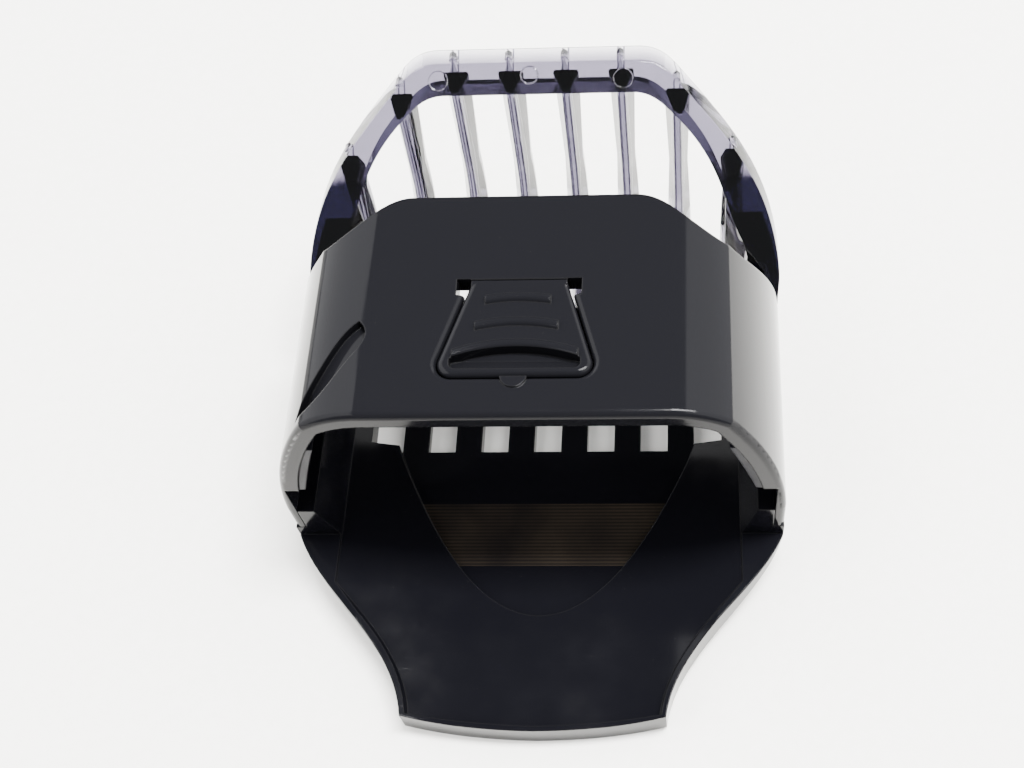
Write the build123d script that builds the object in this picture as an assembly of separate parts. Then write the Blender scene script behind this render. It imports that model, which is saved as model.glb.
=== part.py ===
"""Slide-on guide comb of a body groomer, lying on its back: a black sleeve with a press latch,
a rear shield with slide grooves, and a clear comb with a hoop and eight teeth.

Millimetres. +Z up, +Y towards the comb's teeth. While the pieces are drawn, y = 0 is the
sleeve's mouth and z = 0 is the lowest line of the underside. Each piece is moved by
MOUTH_Y at the end, which puts the origin under the middle of the whole attachment.
"""

import os
from math import cos, radians, sin

from build123d import *

# Whole attachment
MOUTH_Y = -11.28           # where the sleeve's mouth lies in the finished frame
HEIGHT = 27.3              # table to panel
HALF_WIDTH = 22.4
SLEEVE_LENGTH = 20.2       # mouth to far edge, at the cheeks
PANEL_LENGTH = 21.5        # mouth to far edge, at the middle of the panel
SEAM = 0.05                # visible line between two mouldings

# Sleeve walls
PANEL_WALL = 1.7
PANEL_HALF = 12.6          # flat part of the panel
SKIRT_Z = 6.2              # lower edge of the cover's skirt
GROOVE_LOW = 9.6           # slide groove, low and high edge
GROOVE_HIGH = 13.9
GROOVE_IN = 19.9           # slide groove, mouth and bottom
GROOVE_OUT = 21.4
RAIL_TOP = 21.4
EDGE_ROUND = 0.6
LEAF_DEPTH = 0.9

# Rear shield
FLAT_HALF = 6.0            # flat strip that the attachment rests on
BELLY_RADIUS = 37.5        # underside, outside the flat strip
SHIELD_WALL = 2.1
POCKET_FLOOR = 1.5
POCKET_HALF = 13.7
POCKET_APEX = -7.05
POCKET_SHOULDER = 8.35
FLOOR_END = 16.0           # where the shield's fingers meet the comb's foot
TONGUE_END = -18.0
TONGUE_HALF = 11.7
TONGUE_CORNER = -16.8
TONGUE_TOP = 4.6
LIP_RISE = 1.0             # lip along the tongue's edge, above its floor
LIP_WIDTH = 0.9            # at the table; the inner face leans out, so the lip is thinner above
LIP_LEAN = 0.14            # how far the inner face leans out, per millimetre of height

# Teeth, and the slots in line with their gaps
PITCH = 5.2
TOOTH_COUNT = 8
SLOT_WIDTH = 2.65
SLOT_START = 10.0
TOOTH_DEPTH = 2.45
CREST_WIDTH = 0.5
CREST_BEVEL = 0.13
TOOTH_BACK = 2.4           # width of the side that meets the skin
TOOTH_WAIST = 1.8
CREST_RADIUS = 12.0
TOOTH_ANGLE = 84           # slope of the upper half of a tooth
WAIST_RISE = 11.0          # the waist's height above the tooth's lowest crest
FOOT_LENGTH = 2.4
FOOT_HALF = 19.5
FOOT_BAY = 19.6            # half width of the bay in the shield that takes the comb's foot
NUB = 2.9                  # length of the pointed end of a tooth
BURIED = (2.8, 2.7)        # the crest enters the hoop this far in front of the tip, and below it
NUB_DEPTH = 0.9
NUB_RISE = 1.0             # how much of the nub stands in front of the hoop's outer wall
NUB_SINK = 0.08            # a tooth's front ends this deep inside the hoop
# for each tooth outward from the middle: the tip's y and z
TIPS = [(39.3, 26.3), (39.3, 26.3), (37.8, 24.7), (33.4, 20.6)]

# Hoop: a flat ring in a sloping plane, and its side walls
HOOP_SLOPE = 39.8
HOOP_BASE_Z = 10.25        # height of the hoop's plane at the sleeve's far edge
HOOP_DEPTH = 2.25
WALL_END = 28.6            # how far the side walls run along +Y
WALL_LOW = 3.8

# Latch button
HINGE_Y = 12.6
BUTTON_THICK = 1.2
BUTTON_TOP_HALF = 4.05
BUTTON_LOW_HALF = 6.7
BUTTON_LOW = 3.75
BUTTON_CORNER = 1.2
SLIT = 0.15
CHANNEL_ROUND = 0.5        # rounding of both edges along the slit
HOLE = (1.15, 1.55)        # square holes at the upper ends of the slit
HOLE_Y = 12.2
LIP_REACH = 0.6            # thin lip of the button under the panel, closing the slit
LIP_THICK = 0.6
LIP_END = 11.2
SCOOP_Y = 4.4              # lower edge of the finger scoop
SCOOP_HALF = 5.3
SCOOP_DEPTH = 1.0
HINGE_GAP = 0.05
RIDGES = [(11.15, 2.7), (8.8, 3.4), (6.7, 5.1)]    # y of the arch, half width
RIDGE_RADIUS = 14.0
RIDGE_ROUND = 0.45

ALONG = (0, 1, 0)


def belly(x):
    """Height of the underside at x."""
    return max(0.0, abs(x) - FLAT_HALF) ** 2 / (2 * BELLY_RADIUS)


def prism(sketch, start, end):
    """The sketch, drawn in the XZ plane, run from y = start to y = end."""
    return Pos(0, start, 0) * extrude(sketch, amount=end - start, dir=ALONG)


def block(x0, x1, y0, y1, z0, z1):
    return Pos((x0 + x1) / 2, (y0 + y1) / 2, (z0 + z1) / 2) * Box(x1 - x0, y1 - y0, z1 - z0)


def cover_outline(inset=0.0):
    """The arch of the cover, closed by a straight line at its lower edge."""
    top = HEIGHT - inset
    side = HALF_WIDTH - inset
    shoulder = (17.4 - 0.75 * inset, 25.5 - 0.6 * inset)
    with BuildSketch(Plane.XZ) as face:
        with BuildLine():
            Line((0, top), (PANEL_HALF, top))
            ThreePointArc((PANEL_HALF, top), (15.3 - 0.4 * inset, 26.75 - 0.9 * inset), shoulder)
            ThreePointArc(shoulder, (20.6 - 0.93 * inset, 18.9 - 0.3 * inset), (side, 9.8))
            Line((side, 9.8), (side, SKIRT_Z))
            Line((side, SKIRT_Z), (0, SKIRT_Z))
            mirror(about=Plane.YZ)
        make_face()
    return face.sketch


def far_edge():
    """Plan of the sleeve: straight at the mouth, swept back beside the panel."""
    with BuildSketch() as face:
        with BuildLine():
            Line((0, 0), (HALF_WIDTH + 1, 0))
            Line((HALF_WIDTH + 1, 0), (HALF_WIDTH + 1, SLEEVE_LENGTH))
            Line((HALF_WIDTH + 1, SLEEVE_LENGTH), (21.9, SLEEVE_LENGTH))
            Spline((21.9, SLEEVE_LENGTH), (19.9, 18.2), (17.6, 17.3), (15.2, 18.2), (13.2, 19.7),
                   (11.6, 20.9), (9.6, PANEL_LENGTH))
            Line((9.6, PANEL_LENGTH), (0, PANEL_LENGTH))
            mirror(about=Plane.YZ)
        make_face()
    return extrude(face.sketch, amount=HEIGHT + 2)


def button_outline(grow=0.0):
    """The button's plan; grow makes the opening that it moves in."""
    low = BUTTON_LOW - grow
    corner = max(BUTTON_CORNER + grow, 0.3)
    with BuildSketch() as face:
        Polygon(
            (-BUTTON_TOP_HALF - grow, HINGE_Y), (-BUTTON_LOW_HALF - grow, low),
            (BUTTON_LOW_HALF + grow, low), (BUTTON_TOP_HALF + grow, HINGE_Y), align=None)
        fillet(face.vertices().sort_by(Axis.Y)[:2], corner)
    return face.sketch


def leaf_scoop():
    """A leaf-shaped recess of even depth over the left shoulder, blunt at its upper end."""
    with BuildSketch() as leaf:
        with BuildLine():
            Spline((-13.0, 9.0), (-12.4, 8.0), (-13.6, 5.4), (-16.0, 2.2), (-17.9, 0.9))
            Spline((-17.9, 0.9), (-17.0, 3.0), (-15.7, 5.4), (-14.2, 7.8), (-13.0, 9.0))
        make_face()
    core = prism(cover_outline(inset=LEAF_DEPTH), -1, PANEL_LENGTH + 1)
    return extrude(leaf.sketch, amount=HEIGHT + 2) - core


def front_cover():
    """Panel, shoulders and cheeks, with the opening that the latch button moves in."""
    arch = prism(cover_outline(), 0, PANEL_LENGTH + 1)
    mouth_edges = arch.faces().sort_by(Axis.Y)[0].edges().sort_by(Axis.Z)[1:]
    arch = fillet(mouth_edges, EDGE_ROUND)
    hollow = prism(cover_outline(inset=PANEL_WALL), -1, PANEL_LENGTH + 2)
    skirt_x = GROOVE_OUT + SEAM
    below_groove = block(-skirt_x, skirt_x, -1, PANEL_LENGTH + 2, 0, GROOVE_HIGH)
    body = (arch - hollow - below_groove) & far_edge()
    slit = extrude(button_outline(SLIT), amount=HEIGHT + 2)
    seat_z = HEIGHT - BUTTON_THICK / 2
    hinge_seat = Pos(0, HINGE_Y, seat_z) * Rot(0, 90, 0) * Cylinder(
        BUTTON_THICK / 2 + HINGE_GAP, 2 * BUTTON_TOP_HALF)
    body -= slit
    body -= hinge_seat
    for side in (-1, 1):
        hole_x = side * (BUTTON_TOP_HALF + HOLE[0] / 2)
        body -= Pos(hole_x, HOLE_Y, HEIGHT) * Box(HOLE[0], HOLE[1], 6)
    top_edges = body.edges().filter_by_position(Axis.Z, HEIGHT - 0.01, HEIGHT + 0.01)
    body = fillet(beside_button(top_edges), CHANNEL_ROUND)
    bump = Pos(0, BUTTON_LOW - SLIT - CHANNEL_ROUND + 0.6, HEIGHT) * (
        Cylinder(1.1, 0.3) & Pos(0, -1.5, 0) * Box(4, 3, 2))
    body += bump & block(-2, 2, 0, BUTTON_LOW - SLIT, HEIGHT - PANEL_WALL, HEIGHT + 1)
    return body - leaf_scoop()


def beside_button(edges):
    """The edges of the slit, without the holes or the panel's own outline."""
    low = BUTTON_LOW - SLIT - 0.1
    reach = BUTTON_LOW_HALF + SLIT + 0.1
    return [edge for edge in edges
            if low < edge.center().Y < HINGE_Y - 1.6 and abs(edge.center().X) < reach]


def latch_button():
    """A flap that hinges between the two holes, with three arched ridges and a finger scoop."""
    body = Pos(0, 0, HEIGHT - BUTTON_THICK) * extrude(button_outline(), amount=BUTTON_THICK)
    top_edges = body.faces().sort_by(Axis.Z)[-1].edges().sort_by(Axis.Y)[:-1]
    body = fillet(top_edges, CHANNEL_ROUND)
    knuckle = Pos(0, HINGE_Y, HEIGHT - BUTTON_THICK / 2) * Rot(0, 90, 0) * Cylinder(
        BUTTON_THICK / 2, 2 * BUTTON_TOP_HALF - 0.1)
    body += knuckle
    under_panel = HEIGHT - PANEL_WALL - SLIT
    free_end = block(-9, 9, 0, LIP_END, 0, HEIGHT)
    stem = Pos(0, 0, under_panel) * extrude(button_outline(), amount=PANEL_WALL + SLIT - BUTTON_THICK)
    lip = Pos(0, 0, under_panel - LIP_THICK) * extrude(button_outline(LIP_REACH), amount=LIP_THICK)
    body += (stem + lip) & free_end
    for y, half in RIDGES:
        ring = Pos(0, y - RIDGE_RADIUS, HEIGHT - 0.15) * Torus(RIDGE_RADIUS, RIDGE_ROUND)
        body += ring & block(-half, half, y - 2, y + 1, HEIGHT - BUTTON_THICK, HEIGHT + 1)
    body -= finger_scoop()
    catch_top = under_panel - LIP_THICK
    with BuildSketch(Plane.YZ) as catch:
        Polygon((5.0, catch_top), (7.0, catch_top), (5.6, HEIGHT - 3.1), (5.0, HEIGHT - 3.1), align=None)
    return body + extrude(catch.sketch, amount=2.5, both=True)


def finger_scoop():
    """The recess below the last ridge: deepest along the arch and running out at its lower edge."""
    arch_y = RIDGES[-1][0] - RIDGE_ROUND + 0.1
    side_y = arch_y - SCOOP_HALF ** 2 / (2 * RIDGE_RADIUS)
    with BuildSketch() as plan:
        with BuildLine():
            ThreePointArc((-SCOOP_HALF, side_y), (0, arch_y), (SCOOP_HALF, side_y))
            Polyline((SCOOP_HALF, side_y), (SCOOP_HALF, SCOOP_Y), (-SCOOP_HALF, SCOOP_Y),
                     (-SCOOP_HALF, side_y))
        make_face()
        fillet(plan.vertices().group_by(Axis.Y)[0], 0.5)
    length = arch_y - SCOOP_Y
    with BuildSketch(Plane.YZ) as depth:
        Polygon(
            (SCOOP_Y - 0.1, HEIGHT + 1), (SCOOP_Y - 0.1, HEIGHT - 0.25),
            (SCOOP_Y + 0.6 * length, HEIGHT - SCOOP_DEPTH), (arch_y + 0.1, HEIGHT - SCOOP_DEPTH),
            (arch_y + 0.1, HEIGHT + 1), align=None)
    return extrude(plan.sketch, amount=HEIGHT + 2) & extrude(depth.sketch, amount=9, both=True)


def guide_rail(side):
    """Crescent liner above a slide groove; side is 1 for +X and -1 for -X."""
    with BuildSketch(Plane.XZ) as face:
        with BuildLine():
            Line((GROOVE_IN + 0.6, GROOVE_HIGH), (GROOVE_IN - 0.3, GROOVE_HIGH))
            ThreePointArc((GROOVE_IN - 0.3, GROOVE_HIGH), (18.5, 17.6), (17.2, RAIL_TOP))
            Line((17.2, RAIL_TOP), (GROOVE_IN + 0.6, RAIL_TOP))
            Line((GROOVE_IN + 0.6, RAIL_TOP), (GROOVE_IN + 0.6, GROOVE_HIGH))
        make_face()
    liner = prism(face.sketch, 0.15, SLEEVE_LENGTH - 2.5)
    gap = prism(cover_outline(inset=PANEL_WALL + SEAM), 0, PANEL_LENGTH)
    liner = liner & gap
    return liner if side > 0 else mirror(liner, about=Plane.YZ)


def shield_section(floor=SHIELD_WALL):
    """Section across the rear shield: curved underside, trough and side walls."""
    ledge = (HALF_WIDTH, SKIRT_Z - SEAM)
    foot_x = 21.2
    foot = (foot_x, belly(foot_x))
    trough_x = 18.5
    trough = (trough_x, floor + belly(trough_x) + 0.2)
    with BuildSketch(Plane.XZ) as face:
        with BuildLine():
            Line((0, 0), (FLAT_HALF, 0))
            ThreePointArc((FLAT_HALF, 0), (13.5, belly(13.5)), foot)
            ThreePointArc(foot, (21.9, 3.7), (HALF_WIDTH, 4.7))
            Line((HALF_WIDTH, 4.7), ledge)
            Line(ledge, (GROOVE_OUT, ledge[1]))
            Line((GROOVE_OUT, ledge[1]), (GROOVE_OUT, GROOVE_LOW))
            Line((GROOVE_OUT, GROOVE_LOW), (GROOVE_IN, GROOVE_LOW))
            Line((GROOVE_IN, GROOVE_LOW), trough)
            ThreePointArc(trough, (12.5, floor + belly(12.5)), (FLAT_HALF, floor))
            Line((FLAT_HALF, floor), (0, floor))
            mirror(about=Plane.YZ)
        make_face()
    return face.sketch


def tongue_outline(height, inset=0.0):
    """The tongue's plan at a height; an inset outline lies further in towards the mouth."""
    root = (HALF_WIDTH + 0.4 - 3 * inset, 1)
    flank = (16.2 - 2.2 * inset, -8.4 + 0.5 * inset)
    neck = (12.3 - 1.2 * inset, -14.4 + 0.5 * inset)
    corner = (TONGUE_HALF - inset, TONGUE_CORNER + 0.6 * inset)
    with BuildSketch(Plane.XY.offset(height)) as face:
        with BuildLine():
            Line((0, 1), root)
            Spline(root, flank, neck, corner)
            ThreePointArc(corner, (corner[0] / 2, TONGUE_END + inset + 0.33), (0, TONGUE_END + inset))
            mirror(about=Plane.YZ)
        make_face()
    return face.sketch


def tongue():
    """The open tongue in front of the mouth, with a thin lip whose inner face leans out."""
    plan = extrude(tongue_outline(-1), amount=TONGUE_TOP + 1)
    plan &= block(-30, 30, TONGUE_END - 1, 0, -1, TONGUE_TOP)
    floor = prism(shield_section(), TONGUE_END - 1, 0)
    raised = prism(shield_section(SHIELD_WALL + LIP_RISE), TONGUE_END - 1, 0)
    top = TONGUE_TOP + 1
    inner = loft([tongue_outline(0, LIP_WIDTH), tongue_outline(top, LIP_WIDTH - top * LIP_LEAN)], ruled=True)
    return (floor + (raised - inner)) & plan


def pocket():
    """The deeper floor that the groomer's head slides over, with a parabola for its near edge."""
    shoulder = (POCKET_HALF, POCKET_SHOULDER)
    control = (0, 2 * POCKET_APEX - POCKET_SHOULDER)
    with BuildSketch(Plane.XY.offset(POCKET_FLOOR)) as face:
        with BuildLine():
            Bezier((-POCKET_HALF, POCKET_SHOULDER), control, shoulder)
            Line(shoulder, (17.0, FLOOR_END + 1))
            Line((17.0, FLOOR_END + 1), (-17.0, FLOOR_END + 1))
            Line((-17.0, FLOOR_END + 1), (-POCKET_HALF, POCKET_SHOULDER))
        make_face()
    return extrude(face.sketch, amount=6)


def rear_shield():
    """Tongue, trough, pocket, side walls below the grooves, and the slotted floor."""
    tube = prism(shield_section(), 0, SLEEVE_LENGTH)
    tube -= block(-FOOT_BAY, FOOT_BAY, FLOOR_END, SLEEVE_LENGTH + 1, -1, 6)
    body = tube + tongue()
    body -= pocket()
    slots = (TOOTH_COUNT - 1) // 2
    for n in range(-slots, slots + 1):
        x = n * PITCH
        body -= block(x - SLOT_WIDTH / 2, x + SLOT_WIDTH / 2, SLOT_START, FLOOR_END + 1, -1, 8)
    return body


def hoop_outline(inner=False):
    """The hoop in its own plane: x across, y up the slope from the sleeve's far edge."""
    outer_points = [(9.4, 23.6), (13.5, 21.3), (18.9, 14.6), (21.8, 8.2), (22.5, 3.0), (22.3, 0.1)]
    inner_points = [(8.8, 20.8), (12.1, 19.3), (16.4, 13.6), (18.5, 8.0), (19.7, 0.1)]
    points = inner_points if inner else outer_points
    with BuildSketch(Plane.XY) as face:
        with BuildLine():
            Line((0, points[0][1]), points[0])
            Spline(*points, tangents=[(1, 0), (0, -1)])
            Line(points[-1], (0, points[-1][1]))
            mirror(about=Plane.YZ)
        make_face()
    return face.sketch


def hoop_face():
    slope = Plane(origin=(0, SLEEVE_LENGTH, HOOP_BASE_Z), x_dir=(1, 0, 0),
                  z_dir=(0, -sin(radians(HOOP_SLOPE)), cos(radians(HOOP_SLOPE))))
    return slope * (hoop_outline() - hoop_outline(inner=True))


def tooth(n):
    """Tooth n outward from the middle on the +X side: a foot, a bend and a straight blade."""
    x = (n + 0.5) * PITCH
    low = belly(x)
    tip_y, tip_z = TIPS[n]
    slope = radians(TOOTH_ANGLE)
    crest_z = low + TOOTH_DEPTH
    blade = (tip_z - BURIED[1] - crest_z - CREST_RADIUS * (1 - cos(slope))) / sin(slope)
    bend_y = tip_y - BURIED[0] - CREST_RADIUS * sin(slope) - blade * cos(slope)
    start_y = FLOOR_END + FOOT_LENGTH / 2
    with BuildLine(Plane.YZ) as path:
        foot = Line((start_y, crest_z), (bend_y, crest_z))
        bend = JernArc(foot @ 1, (1, 0), CREST_RADIUS, TOOTH_ANGLE)
        PolarLine(bend @ 1, blade + BURIED[1] + 1, TOOTH_ANGLE)
    crest = CREST_WIDTH / 2
    shoulder = crest + CREST_BEVEL
    with BuildSketch(Plane(origin=(0, start_y, crest_z), x_dir=(1, 0, 0), z_dir=(0, -1, 0))) as end:
        Polygon((-crest, 0), (crest, 0), (shoulder, -CREST_BEVEL), (TOOTH_BACK / 2, -TOOTH_DEPTH),
                (-TOOTH_BACK / 2, -TOOTH_DEPTH), (-shoulder, -CREST_BEVEL), align=None)
    body = sweep(end.sketch, path=path.line)
    with BuildSketch(Plane.XZ) as front:
        with BuildLine():
            Polyline((0, low - 1), (TOOTH_BACK / 2 + 0.1, low - 1), (TOOTH_BACK / 2 + 0.1, crest_z),
                     (TOOTH_WAIST / 2, crest_z + WAIST_RISE), (TOOTH_BACK / 2, tip_z - NUB),
                     (0.36, tip_z - NUB_RISE), (0.32, tip_z - 0.3), (0, tip_z))
            mirror(about=Plane.YZ)
        make_face()
    body = body & prism(front.sketch, 0, 60)
    body -= block(-4, 4, 0, tip_y - NUB_DEPTH, tip_z - NUB_RISE, tip_z + 5)
    tilt = radians(HOOP_SLOPE)
    tip_slant = (tip_y - SLEEVE_LENGTH) * cos(tilt) + (tip_z - HOOP_BASE_Z) * sin(tilt)
    hoop_plane = Pos(0, SLEEVE_LENGTH, HOOP_BASE_Z) * Rot(HOOP_SLOPE, 0, 0)
    body -= hoop_plane * block(-4, 4, 0, tip_slant - NUB_RISE, -NUB_SINK, 20)
    return Pos(x, 0, 0) * body


def clear_comb():
    """One clear moulding: foot, teeth, hoop, side walls, posts and the tabs in the grooves."""
    ring = hoop_face()
    away = Vector(0, 0.99, -0.14).normalized()
    body = extrude(ring, amount=HOOP_DEPTH, dir=away)
    walls = extrude(ring, amount=10, dir=(0, 0, -1))
    walls &= block(-30, 30, SLEEVE_LENGTH + SEAM, WALL_END, WALL_LOW, HEIGHT)
    under = Pos(0, SLEEVE_LENGTH, WALL_LOW) * Rot(32, 0, 0) * (Pos(0, 10, -10) * Box(60, 20, 20))
    body += walls - under
    foot = prism(shield_section(), FLOOR_END + SEAM, FLOOR_END + FOOT_LENGTH)
    body += foot & block(-FOOT_HALF, FOOT_HALF, 0, 30, 0, 5)
    for n in range(TOOTH_COUNT // 2):
        body += tooth(n)
        body += mirror(tooth(n), about=Plane.YZ)
    for side in (-1, 1):
        post = block(18.4, 21.3, 27.0, WALL_END, 7.0, 13.1)
        post = fillet(post.edges().filter_by(Axis.Y).group_by(Axis.Z)[-1], 0.6)
        tab = block(GROOVE_IN + 0.05, GROOVE_OUT - 0.05, FLOOR_END - 2, SLEEVE_LENGTH + 0.5,
                    GROOVE_LOW + 0.05, GROOVE_HIGH - 0.05)
        pair = post + tab
        body += pair if side > 0 else mirror(pair, about=Plane.YZ)
    return body


PIECES = {
    "front_cover": front_cover,
    "latch_button": latch_button,
    "guide_rail_left": lambda: guide_rail(-1),
    "guide_rail_right": lambda: guide_rail(1),
    "rear_shield": rear_shield,
    "clear_comb": clear_comb,
}

os.makedirs("parts", exist_ok=True)
for name, make in PIECES.items():
    piece = Pos(0, MOUTH_Y, 0) * make()
    export_step(piece, f"parts/{name}.step")
    box = piece.bounding_box()
    print(name, "solids", len(piece.solids()), "volume", round(piece.volume, 1), box.min, box.max)
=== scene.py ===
# %% [markdown]
# # A guide comb, finished
# The shape of this guide comb comes from its CAD frame. Blender adds what a camera sees:
# polished black mouldings, a smoky clear comb, the marks that the mould left, and soft light.

# %% Load the frame
from math import cos, pi, radians, sin, tan

import bmesh
import bpy
from mathutils import Matrix, Vector


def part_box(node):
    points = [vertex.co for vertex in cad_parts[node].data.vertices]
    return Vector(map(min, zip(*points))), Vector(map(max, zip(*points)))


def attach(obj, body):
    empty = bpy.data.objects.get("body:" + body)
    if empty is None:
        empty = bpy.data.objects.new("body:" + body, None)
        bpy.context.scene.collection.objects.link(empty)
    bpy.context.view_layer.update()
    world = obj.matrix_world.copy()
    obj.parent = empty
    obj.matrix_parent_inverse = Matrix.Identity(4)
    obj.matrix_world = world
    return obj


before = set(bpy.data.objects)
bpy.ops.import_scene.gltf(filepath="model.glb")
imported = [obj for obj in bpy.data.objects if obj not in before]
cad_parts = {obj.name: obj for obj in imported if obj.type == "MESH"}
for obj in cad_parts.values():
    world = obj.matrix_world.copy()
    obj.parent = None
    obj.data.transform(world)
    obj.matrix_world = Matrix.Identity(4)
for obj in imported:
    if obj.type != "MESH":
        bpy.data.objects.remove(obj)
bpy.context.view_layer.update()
MM = 0.001
MOUTH_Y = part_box("front_cover")[0].y

# %% [markdown]
# ## The camera
# The comb lies on its back and is seen from the sleeve's mouth, close up and from well above.
# A camera can be aimed with a tracking constraint, but a small object close to the lens shows
# every degree of tilt, so its three turns are written out: heading, pitch and roll. The lens is
# shifted a little sideways, which frames the comb without turning the camera.

# %% Camera
HEADING, PITCH, ROLL = radians(6.84), radians(29.9), radians(-6.44)
STAND = (14.4 * MM, MOUTH_Y - 51.8 * MM, 123.0 * MM)
lens = bpy.data.cameras.new("lens")
lens.lens = 49.2
lens.sensor_width = 36
lens.shift_x = -0.097
lens.clip_start = 0.005
camera = bpy.data.objects.new("camera", lens)
bpy.context.collection.objects.link(camera)
aim = Matrix.Rotation(HEADING, 4, "Z") @ Matrix.Rotation(PITCH, 4, "X")
camera.matrix_world = Matrix.Translation(STAND) @ (aim @ Matrix.Rotation(ROLL, 4, "Z"))
bpy.context.scene.camera = camera
print("camera stands", [round(v / MM) for v in STAND], "mm from the comb's middle")

# %% [markdown]
# ## Node helpers
# Every finish below is a small network of nodes on one Principled shader. Clicking them
# together in the editor would work as well, but a few helpers keep each network readable: a
# new material, a node with its sockets set, a link, a texture read at a place, and a ramp from
# a factor to a colour.

# %% Helpers
def new_material(name):
    """A material with its node tree and its Principled shader."""
    mat = bpy.data.materials.new(name)
    mat.use_nodes = True
    return mat, mat.node_tree, mat.node_tree.nodes["Principled BSDF"]


def add(tree, kind, **settings):
    """A new node with its properties set, and its sockets where a name matches one."""
    node = tree.nodes.new("ShaderNode" + kind)
    for key, value in settings.items():
        if hasattr(node, key):
            setattr(node, key, value)
        else:
            node.inputs[key].default_value = value
    return node


def link(tree, source, target):
    tree.links.new(source, target)


def texture(tree, kind, where, output, **settings):
    """One output of a texture node that is read at a place."""
    node = add(tree, kind, **settings)
    link(tree, where, node.inputs["Vector"])
    return node.outputs[output]


def ramp(tree, factor, *stops):
    """A colour ramp over a factor. Each stop is a place and a grey or a colour."""
    node = add(tree, "ValToRGB")
    while len(node.color_ramp.elements) < len(stops):
        node.color_ramp.elements.new(0.5)
    for element, (place, value) in zip(node.color_ramp.elements, stops):
        element.position = place
        element.color = (value, value, value, 1) if isinstance(value, float) else (*value, 1)
    link(tree, factor, node.inputs["Fac"])
    return node.outputs["Color"]


print("helpers:", new_material.__name__, add.__name__, link.__name__, texture.__name__, ramp.__name__)

# %% [markdown]
# ## The table
# A plain white table, a little warm, with a faint grain. A flat plane is enough, because the
# camera looks down steeply and never meets the horizon. It also lights the black walls from
# below, which is what turns the curved cheeks grey.

# %% Table
TABLE_SIZE = 3
bpy.ops.mesh.primitive_plane_add(size=TABLE_SIZE)
table = bpy.context.object
table.name = "table"
table_mat, tree, shader = new_material("white_table")
where = add(tree, "TexCoord").outputs["Object"]
grain = texture(tree, "TexNoise", where, "Fac", Scale=900.0, Detail=3.0)
white = ramp(tree, grain, (0.3, (0.9, 0.885, 0.84)), (0.7, (0.93, 0.915, 0.875)))
link(tree, white, shader.inputs["Base Color"])
shader.inputs["Roughness"].default_value = 0.7
table.data.materials.append(table_mat)
print("table:", TABLE_SIZE, "m square, standing at z =", table.location.z)

# %% [markdown]
# ## Softboxes
# Black gloss shows no colour of its own: it shows the lamps. So the light is built from
# softboxes on an arc over the comb. Area lamps do this better than an environment map, since
# each can be aimed with two numbers, an angle and a reach. The brightness is given as radiance,
# how bright the lamp's face looks, because that is what the plastic mirrors.

# %% Softbox
def softbox(name, angle, reach, size, radiance, along=0.0):
    """A rectangle lamp over the comb: angle from straight up towards +X, in degrees."""
    data = bpy.data.lights.new(name, "AREA")
    data.shape = "RECTANGLE"
    data.size, data.size_y = size
    data.energy = radiance * pi * size[0] * size[1]
    lamp = bpy.data.objects.new(name, data)
    bpy.context.collection.objects.link(lamp)
    lean = radians(angle)
    stand = Matrix.Translation((reach * sin(lean), along, reach * cos(lean)))
    lamp.matrix_world = stand @ Matrix.Rotation(lean, 4, "Y")
    return lamp


print("helper:", softbox.__name__)

# %% [markdown]
# ## Walls of light
# A wall of soft light stands left and right of the comb, with a dark gap between them overhead.
# The flat panel mirrors the gap and stays black. The cheeks tilt outwards, so they mirror a
# wall and the white table. Each wall is a fan of strips from near the top of the arc down to
# the table. One large flat lamp would leave a dark band between its lower edge and the table,
# and the cheek would show it.

# %% Light walls
WALL_REACH = 0.7
WALL_LENGTH = 1.5
WALL_ALONG = 0.25


def light_wall(name, start, end, upper, lower, strips=12):
    """Strips side by side on an arc from start to end degrees, from upper to lower radiance."""
    width = 2 * WALL_REACH * tan(radians(abs(end - start)) / strips / 2)
    for n in range(strips):
        part = (n + 0.5) / strips
        angle = start + (end - start) * part
        radiance = upper + (lower - upper) * part
        softbox(f"{name}_{n}", angle, WALL_REACH, (width, WALL_LENGTH), radiance, along=WALL_ALONG)


light_wall("right_wall", 19, 88, 5.5, 5.0)
light_wall("left_wall", -21, -88, 6.5, 5.0)

# %% [markdown]
# ## The box overhead
# A small bright box hangs overhead, a little to the right. It draws the thin lines on the rim
# and the ridges, and drops the soft shadow round the tongue. It stands only slightly behind the
# comb: further back, the sleeve's tongue would mirror it as a bright patch.

# %% Overhead box
overhead = softbox("overhead_box", 14, 0.68, (0.34, 0.12), 170.0, along=0.06)
print("overhead box:", round(overhead.data.energy, 1), "W")

# %% [markdown]
# ## The room
# A dim, slightly cool room fills what the lamps leave dark. A black world would make the panel
# pure black, and a bright one would wash out the shadow on the table.

# %% World
world = bpy.data.worlds.new("studio")
bpy.context.scene.world = world
world.use_nodes = True
room = world.node_tree.nodes["Background"]
room.inputs["Color"].default_value = (0.9, 0.93, 1, 1)
room.inputs["Strength"].default_value = 0.3
print("room strength:", round(room.inputs["Strength"].default_value, 2))

# %% [markdown]
# ## Marks of handling
# The sleeve and its button were moulded in a polished tool and then handled. A single roughness
# would look like wet paint. Noise stretched in one direction gives short hairlines, the middles
# of small cells give a few dust specks, and the Bevel node finds the edges: it rounds the
# shading normal there, and where that leaves the flat one, the plastic is a little worn. Real
# bevels on every CAD edge would cost many faces for the same look.

# %% Marks
def calc(tree, operation, a, b=0.0, c=0.0):
    """A math node: each input is a number or another node's output."""
    node = add(tree, "Math", operation=operation)
    for socket, value in zip(node.inputs, (a, b, c)):
        if isinstance(value, float):
            socket.default_value = value
        else:
            link(tree, value, socket)
    return node.outputs["Value"]


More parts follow.
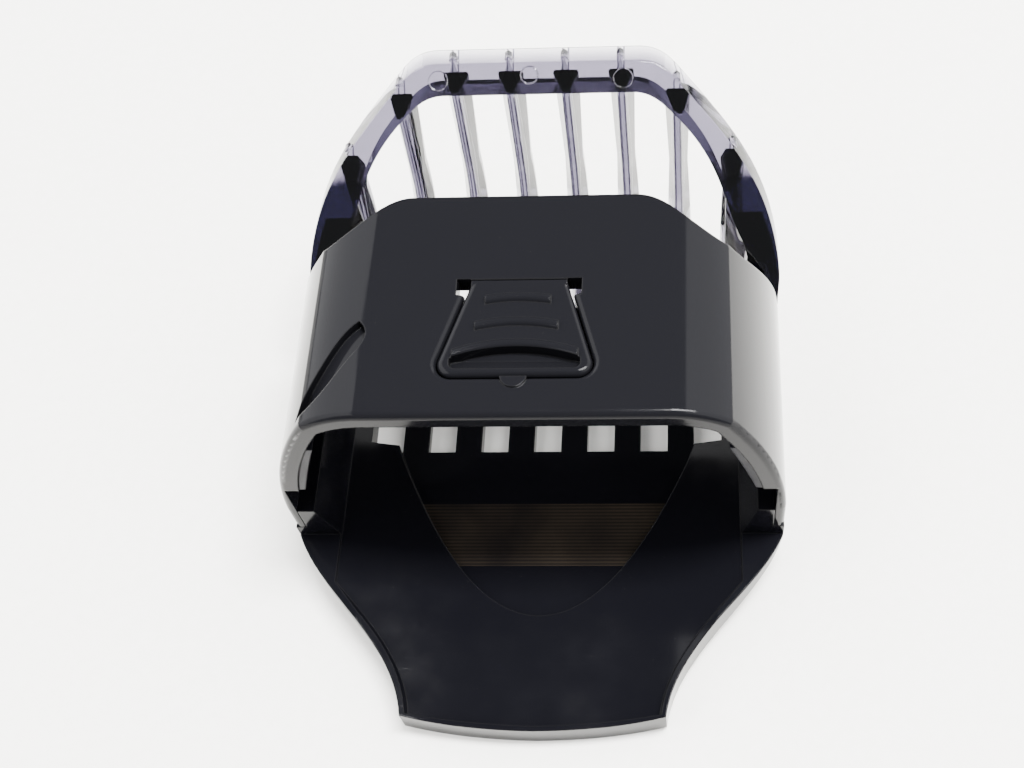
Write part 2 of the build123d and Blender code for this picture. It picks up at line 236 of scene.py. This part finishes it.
def hairlines(tree, where):
    """1 on a fine scratch and 0 beside it."""
    stretch = add(tree, "Mapping", Scale=(260, 9000, 1800), Rotation=(0, 0, 0.5))
    link(tree, where, stretch.inputs["Vector"])
    hairs = texture(tree, "TexNoise", stretch.outputs["Vector"], "Fac", Scale=1.0, Detail=2.0)
    return ramp(tree, hairs, (0.67, 0.0), (0.75, 1.0))


def dust(tree, where):
    """A few specks, brightest in their middle."""
    cells = texture(tree, "TexVoronoi", where, "Distance", Scale=700.0)
    return ramp(tree, cells, (0.015, 0.4), (0.04, 0.0))


def worn_edges(tree, rounded):
    """1 on an edge and 0 on a flat face, from the distance between two normals."""
    apart = add(tree, "VectorMath", operation="DISTANCE")
    link(tree, rounded, apart.inputs[0])
    link(tree, add(tree, "NewGeometry").outputs["Normal"], apart.inputs[1])
    return ramp(tree, apart.outputs["Value"], (0.1, 0.0), (0.6, 1.0))


print("marks:", hairlines.__name__, dust.__name__, worn_edges.__name__)

# %% [markdown]
# ## Black plastic
# One function makes every black here, from a base colour and two roughnesses that slow clouds
# blend between. The marks of handling add to the roughness, wear and dust lift the colour a
# little, and the clouds and hairlines also give a very shallow relief. The specular level is
# far below its usual half. In this bright room the default turns the whole sleeve grey, and
# the low level leaves a grey only where a wall is seen at a grazing angle.

# %% Handled black
SPECULAR = 0.07
GREY_DUST = (0.02, 0.0195, 0.018)
EDGE_RADIUS = 0.18 * MM
RELIEF = 0.01 * MM


def handled_black(name, base, low, high):
    """Black plastic between two roughnesses; also returns its tree, shader and place."""
    mat, tree, shader = new_material(name)
    shader.inputs["Specular IOR Level"].default_value = SPECULAR
    where = add(tree, "TexCoord").outputs["Object"]
    rounded = add(tree, "Bevel", samples=4, Radius=EDGE_RADIUS).outputs["Normal"]
    clouds = texture(tree, "TexNoise", where, "Fac", Scale=260.0, Detail=4.0)
    hairs, specks, worn = hairlines(tree, where), dust(tree, where), worn_edges(tree, rounded)

    rough = ramp(tree, clouds, (0.35, low), (0.68, high))
    for mark, amount in ((hairs, 0.05), (specks, 0.3), (worn, 0.08)):
        rough = calc(tree, "MULTIPLY_ADD", mark, amount, rough)
    link(tree, rough, shader.inputs["Roughness"])

    dirt = calc(tree, "MAXIMUM", calc(tree, "MULTIPLY", worn, 0.25), specks)
    link(tree, ramp(tree, dirt, (0.0, base), (1.0, GREY_DUST)), shader.inputs["Base Color"])

    relief = add(tree, "Bump", Strength=0.25, Distance=RELIEF)
    link(tree, calc(tree, "MULTIPLY_ADD", hairs, -0.3, clouds), relief.inputs["Height"])
    link(tree, rounded, relief.inputs["Normal"])
    link(tree, relief.outputs["Normal"], shader.inputs["Normal"])
    return mat, tree, shader, where


gloss_mat = handled_black("black_gloss", (0.0045, 0.0045, 0.0055), 0.07, 0.12)[0]
satin_mat = handled_black("black_satin", (0.008, 0.008, 0.011), 0.28, 0.4)[0]
print("black finishes:", gloss_mat.name, satin_mat.name)

# %% [markdown]
# ## The shield and its lined pocket
# The rear shield is black too, but the floor of its pocket carries fine lines across, and looks
# brownish. Only a band of the floor has them. So the band is masked by place, and the lines are
# a sine wave along the comb's length. They are too fine and too shallow to be worth modelling.

# %% Lined band
LINED_FROM, LINED_TO = MOUTH_Y - 1.95 * MM, MOUTH_Y + 4.4 * MM
LINE_SPACING = 0.35 * MM
POCKET_FLOOR = 1.5 * MM
shield_mat, tree, shader, where = handled_black("black_shield", (0.0025, 0.0025, 0.0035), 0.09, 0.15)
split = add(tree, "SeparateXYZ")
link(tree, where, split.inputs["Vector"])
length, height = split.outputs["Y"], split.outputs["Z"]
beyond_start = calc(tree, "GREATER_THAN", length, LINED_FROM)
before_end = calc(tree, "LESS_THAN", length, LINED_TO)
on_floor = calc(tree, "COMPARE", height, POCKET_FLOOR, 0.1 * MM)
uneven = texture(tree, "TexNoise", where, "Fac", Scale=160.0, Detail=2.0)
band = calc(tree, "MULTIPLY", calc(tree, "MULTIPLY", beyond_start, before_end), on_floor)
band = calc(tree, "MULTIPLY", band, ramp(tree, uneven, (0.3, 0.35), (0.7, 1.0)))
print("lined band:", round((LINED_TO - LINED_FROM) / LINE_SPACING), "lines")

# %% [markdown]
# The band is mixed over the shield's black: a brown tint, stronger on each line, and a rougher
# surface that catches more of the light.

# %% Shield
BROWN = (0.030, 0.023, 0.015, 1)
wave = calc(tree, "SINE", calc(tree, "MULTIPLY", length, 2 * pi / LINE_SPACING))
lines = calc(tree, "MULTIPLY", band, calc(tree, "MULTIPLY_ADD", wave, 0.5, 0.5))
tint = add(tree, "MixRGB", Color2=BROWN)
amount = calc(tree, "MULTIPLY_ADD", lines, 0.45, calc(tree, "MULTIPLY", band, 0.2))
link(tree, amount, tint.inputs["Fac"])
link(tree, shader.inputs["Base Color"].links[0].from_socket, tint.inputs["Color1"])
link(tree, tint.outputs["Color"], shader.inputs["Base Color"])
black_rough = shader.inputs["Roughness"].links[0].from_socket
link(tree, calc(tree, "MULTIPLY_ADD", band, 0.12, black_rough), shader.inputs["Roughness"])
print("shield finish:", shield_mat.name, "with", len(tree.nodes), "nodes")

# %% [markdown]
# ## The smoky clear comb
# The comb is one clear moulding with a violet-grey smoke in it. Tinting its surface would
# colour thin and thick parts alike. The real one is pale in a tooth and almost black where
# light runs through a long wall, so the colour sits in the volume and grows with the path.
# A soft edge and a faint ripple of flow clouds keep the surface from looking machined.

# %% Smoke and surface
SMOKE = (0.50, 0.485, 0.555, 1)
SMOKE_DENSITY = 1700.0
clear_mat, tree, shader = new_material("smoke_clear")
shader.inputs["IOR"].default_value = 1.57
shader.inputs["Transmission Weight"].default_value = 1
smoke = add(tree, "VolumeAbsorption", Density=SMOKE_DENSITY, Color=SMOKE)
link(tree, smoke.outputs["Volume"], tree.nodes["Material Output"].inputs["Volume"])
where = add(tree, "TexCoord").outputs["Object"]
flow = texture(tree, "TexNoise", where, "Fac", Scale=420.0, Detail=3.0)
link(tree, ramp(tree, flow, (0.35, 0.01), (0.7, 0.05)), shader.inputs["Roughness"])
ripple = add(tree, "Bump", Strength=0.2, Distance=RELIEF)
link(tree, flow, ripple.inputs["Height"])
soft_edge = add(tree, "Bevel", samples=4, Radius=0.12 * MM)
link(tree, soft_edge.outputs["Normal"], ripple.inputs["Normal"])
link(tree, ripple.outputs["Normal"], shader.inputs["Normal"])
print("clear finish:", clear_mat.name, "smoke density", SMOKE_DENSITY)

# %% [markdown]
# ## Places on the hoop
# Some places look darker than smoke alone makes them, and they follow the hoop and the teeth:
# there the clear plastic shows the black sleeve, and that shade is painted into its colour.
# So the material measures where it is in the comb's own directions: up the hoop's slope from
# the sleeve's far edge, above the hoop's face, across from the middle, and sideways from the
# nearest tooth. All four are in millimetres.

# %% Distances
HOOP_SLOPE = radians(39.8)
HOOP_BASE = Vector((0, MOUTH_Y + 20.2 * MM, 10.25 * MM))
TOOTH_PITCH = 5.2


def distance_along(tree, where, direction, start=(0, 0, 0)):
    """How far a place lies along a direction from a starting point, in millimetres."""
    direction = Vector(direction)
    node = add(tree, "VectorMath", operation="DOT_PRODUCT")
    link(tree, where, node.inputs[0])
    node.inputs[1].default_value = direction / MM
    return calc(tree, "SUBTRACT", node.outputs["Value"], Vector(start).dot(direction) / MM)


up_slope = distance_along(tree, where, (0, cos(HOOP_SLOPE), sin(HOOP_SLOPE)), HOOP_BASE)
above_face = distance_along(tree, where, (0, -sin(HOOP_SLOPE), cos(HOOP_SLOPE)), HOOP_BASE)
across = calc(tree, "ABSOLUTE", distance_along(tree, where, (1, 0, 0)))
in_gap = calc(tree, "MODULO", across, TOOTH_PITCH)
from_tooth = calc(tree, "ABSOLUTE", calc(tree, "SUBTRACT", in_gap, TOOTH_PITCH / 2))
print("distances start at y =", round(HOOP_BASE.y / MM, 2), "mm, z =", round(HOOP_BASE.z / MM, 2), "mm")

# %% [markdown]
# ## The painted shade of the arms, and the lilac face
# The lower arms of the hoop are painted dark indigo next to the sleeve: that is shade, where
# long walls seen edge on show the black sleeve. It ends in an uneven edge higher up. The rest
# of the hoop's face is a middling lilac. Both are masks, made from soft steps over the
# distances. A painted map could hold them too, but it would have to be redrawn whenever the
# hoop's shape changed.

# %% Arms and face
ARM_END = 14.2
ARM_INSIDE = 12.0
ARM_DEPTH = -2.0


def fade(tree, value, zero, one):
    """0 where the value is at zero, 1 where it is at one, soft in between."""
    node = add(tree, "MapRange", interpolation_type="SMOOTHSTEP")
    link(tree, value, node.inputs["Value"])
    node.inputs["From Min"].default_value = zero
    node.inputs["From Max"].default_value = one
    return node.outputs["Result"]


def overlap(tree, *masks):
    """Where all the masks meet."""
    common, *others = masks
    for mask in others:
        common = calc(tree, "MULTIPLY", common, mask)
    return common


cloudy = texture(tree, "TexNoise", where, "Fac", Scale=500.0, Detail=3.0)
uneven_end = calc(tree, "MULTIPLY_ADD", cloudy, 2.0, up_slope)
# painted shade on the lower arms, where long walls show the black sleeve
painted_arm_shade = overlap(tree, fade(tree, uneven_end, ARM_END + 0.6, ARM_END - 0.6),
              fade(tree, across, ARM_INSIDE, ARM_INSIDE + 1),
              fade(tree, above_face, ARM_DEPTH, ARM_DEPTH + 0.2))
on_face = fade(tree, above_face, -0.3, -0.1)
print("the arms are dark up to about", ARM_END - 1, "mm up the slope")

# %% [markdown]
# ## Tooth roots and crest lines, painted shade
# The root of each middle tooth shows in the hoop's bar as a dark wedge, where the clear bar
# shows the black sleeve. That shade is painted as a wedge that narrows up the slope: its half
# width is a starting half less a taper for each millimetre of the way up.
# Along each tooth, two fine lines of painted shade mark the edges of its crest. They are only
# on the side that faces the sleeve, so that mask also asks which way the surface faces.

# %% Roots and crests
BAR_LOW = 20.8
ROOT_HALF = 8.8
ROOT_TAPER = 0.36
CREST_LINE = 0.28
half_wedge = calc(tree, "MULTIPLY_ADD", up_slope, -ROOT_TAPER, ROOT_HALF)
# painted shade: a dark wedge at each middle tooth root
painted_root_shade = overlap(tree, fade(tree, calc(tree, "SUBTRACT", half_wedge, from_tooth), 0.0, 0.2),
               fade(tree, up_slope, BAR_LOW - 0.3, BAR_LOW), on_face,
               fade(tree, across, 2 * TOOTH_PITCH, 2 * TOOTH_PITCH - 0.2))
# painted shade: two dark lines along each crest, on the side that faces the sleeve
from_line = calc(tree, "ABSOLUTE", calc(tree, "SUBTRACT", from_tooth, CREST_LINE))
facing = add(tree, "SeparateXYZ")
link(tree, add(tree, "NewGeometry").outputs["True Normal"], facing.inputs["Vector"])
crest = overlap(tree, fade(tree, from_line, 0.1, 0.05), fade(tree, facing.outputs["Y"], -0.4, -0.6),
                fade(tree, above_face, -0.6, -0.8))
print("crest lines are", 2 * CREST_LINE, "mm apart")

# %% [markdown]
# The masks meet in one darkness, which picks the tint of the surface: clear, lilac, or the
# indigo of the painted shade.

# %% Tint
CLEAR, LILAC, SHADE_INDIGO = (0.97, 0.96, 1.0), (0.33, 0.31, 0.38), (0.012, 0.011, 0.03)
# painted shade of the tooth roots and crest lines
marks = calc(tree, "MULTIPLY", calc(tree, "MAXIMUM", painted_root_shade, crest), 0.9)
face = calc(tree, "MULTIPLY", on_face, 0.5)
darkness = calc(tree, "MAXIMUM", calc(tree, "MAXIMUM", painted_arm_shade, marks), face)
link(tree, ramp(tree, darkness, (0.0, CLEAR), (0.5, LILAC), (1.0, SHADE_INDIGO)), shader.inputs["Base Color"])
print("clear finish has", len(tree.nodes), "nodes")

# %% [markdown]
# ## Finishes on the CAD pieces
# Each node of the CAD gets one of the finishes. The rails in the sleeve are satin, which suits
# a liner that another part slides along, and tells them apart from the gloss around them.

# %% Assign
FINISHES = {
    "clear_comb": clear_mat,
    "guide_rail_left": satin_mat,
    "guide_rail_right": satin_mat,
    "rear_shield": shield_mat,
}
for name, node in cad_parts.items():
    node.data.materials.clear()
    node.data.materials.append(FINISHES.get(name, gloss_mat))
print("finished:", {name: node.data.materials[0].name for name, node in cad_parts.items()})

# %% [markdown]
# ## Marks of the mould
# The hoop's face shows where the mould filled it and pushed it out: a small gate ring near the
# middle and two ejector circles. They are too fine for the CAD and too plain to paint, because
# a clear part shows a step only by the way it bends light. So each is a low ring of real
# geometry: a half-round profile turned about an axis that stands on the sloping face.

# %% Ring shape
SINK = 0.01 * MM
PROFILE_STEPS = 10
TURN_STEPS = 48


def ring_mesh(name, radius, width, rise):
    """A low half-round ring round z, sunk a little into the face it lies on."""
    bm = bmesh.new()
    inner = radius - width / 2
    profile = []
    for n in range(PROFILE_STEPS + 1):
        turn = pi * n / PROFILE_STEPS
        outward = inner + width * (1 - cos(turn)) / 2
        profile.append(bm.verts.new((outward, 0, rise * sin(turn) - SINK)))
    edges = [bm.edges.new(pair) for pair in zip(profile, profile[1:] + profile[:1])]
    bmesh.ops.spin(bm, geom=profile + edges, cent=(0, 0, 0), axis=(0, 0, 1), angle=2 * pi,
                   steps=TURN_STEPS, use_merge=True, use_duplicate=False)
    bmesh.ops.remove_doubles(bm, verts=bm.verts, dist=0.001 * MM)
    bmesh.ops.recalc_face_normals(bm, faces=bm.faces)
    mesh = bpy.data.meshes.new(name)
    bm.to_mesh(mesh)
    bm.free()
    mesh.shade_smooth()
    mesh.materials.append(clear_mat)
    return mesh


print("a ring has", TURN_STEPS * (PROFILE_STEPS + 1), "vertices")

# %% [markdown]
# Each ring lies in the hoop's own plane, so it is placed by how far across and how far up the
# slope it is. It rides on the attachment, as the comb does.

# %% Rings
RINGS = {
    "gate_ring": (-0.72, 22.56, 0.8 * MM, 0.16 * MM, 0.06 * MM),
    "ejector_ring_left": (-9.3, 22.2, 0.9 * MM, 0.12 * MM, 0.05 * MM),
    "ejector_ring_right": (8.04, 22.1, 0.9 * MM, 0.12 * MM, 0.05 * MM),
}
hoop_plane = Matrix.Translation(HOOP_BASE) @ Matrix.Rotation(HOOP_SLOPE, 4, "X")
for name, (ring_x, slant, radius, width, rise) in RINGS.items():
    ring = bpy.data.objects.new(name, ring_mesh(name, radius, width, rise))
    bpy.context.collection.objects.link(ring)
    ring.matrix_world = hoop_plane @ Matrix.Translation((ring_x * MM, slant * MM, 0))
    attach(ring, "attachment")
    print(name, "vertices", len(ring.data.vertices))
